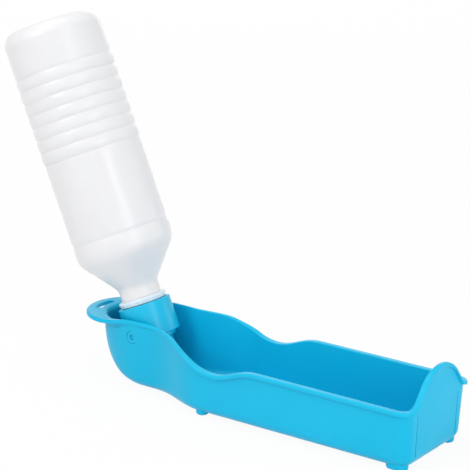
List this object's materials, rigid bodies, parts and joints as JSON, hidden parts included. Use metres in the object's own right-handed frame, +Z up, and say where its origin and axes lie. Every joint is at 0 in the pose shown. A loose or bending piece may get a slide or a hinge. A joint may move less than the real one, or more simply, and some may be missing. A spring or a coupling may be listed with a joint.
{
  "type": "portable pet water bottle",
  "caption": "Blue plastic drinking trough with a carry tab and a frosted bottle that leans back from its hinge, cap down.",
  "frame": {"origin": "middle of the bottom of the box round the part as it stands open, at the height of the surface that it stands on", "axes": "+X along the trough from the carry tab to the arched end wall, +Y across the trough along the hinge axis, +Z up"},
  "size_m": [0.319, 0.0726, 0.2332],
  "materials": {
    "blue_plastic": "satin",
    "blue_cap_plastic": "satin",
    "washer_rubber": "matte",
    "frosted_plastic": "translucent satin"
  },
  "bodies": {
    "trough_base": {"trough": "blue_plastic"},
    "cap_swing": {"screw_cap": "blue_cap_plastic"},
    "seal_slide": {"sealing_washer": "washer_rubber"},
    "bottle_turn": {"bottle": "frosted_plastic"}
  },
  "joints": [
    {"name": "trough_fold", "type": "hinge", "parent": "trough_base", "child": "cap_swing", "pos_m": [-0.05278, 0, 0.0355], "axis": [0, 1, 0], "range_deg": [0, 112.3]},
    {"name": "bottle_lift", "type": "slide", "parent": "cap_swing", "child": "seal_slide", "axis": [-0.3955, 0, 0.9184], "range_m": [0, 0.001]},
    {"name": "bottle_unscrew", "type": "hinge", "parent": "seal_slide", "child": "bottle_turn", "pos_m": [-0.05278, 0, 0.0355], "axis": [-0.3955, 0, 0.9184], "range_deg": [0, 120]}
  ],
  "couplings": [
    {"joint": "bottle_lift", "follows": "bottle_unscrew", "m_per_rad": 0.00047746}
  ]
}
